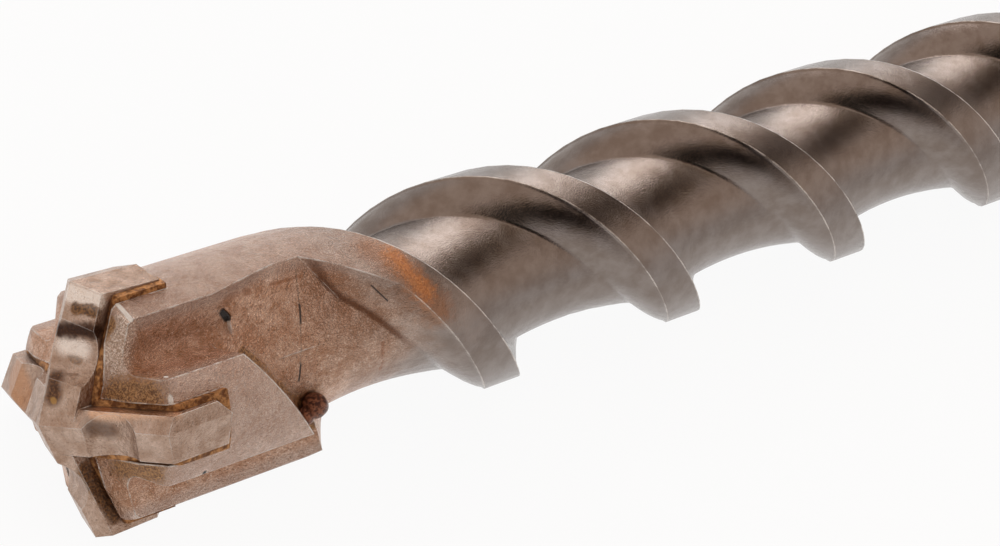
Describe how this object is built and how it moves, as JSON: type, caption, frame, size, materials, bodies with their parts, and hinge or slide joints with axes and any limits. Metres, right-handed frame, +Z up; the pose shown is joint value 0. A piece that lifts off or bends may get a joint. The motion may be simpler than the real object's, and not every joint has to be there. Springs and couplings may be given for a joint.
{
  "type": "masonry drill bit",
  "caption": "Masonry drill bit with a carbide cross brazed into a steel head, a helical fluted shaft and a slotted cylindrical shank for a rotary hammer.",
  "frame": {"origin": "centre of the shank's end face, on the axis", "axes": "+X along the axis, from the point to the shank; +Z up, with the bit lying at rest"},
  "size_m": [0.32, 0.0218, 0.0218],
  "materials": {
    "steel": "blasted, with a light copper tint",
    "carbide": "ground matte",
    "braze": "rough and oxidised",
    "bead": "oxidised"
  },
  "bodies": {
    "root": {"steel_body": "steel", "carbide_cross": "carbide", "braze_seam": "braze", "braze_bead": "bead"}
  },
  "joints": []
}
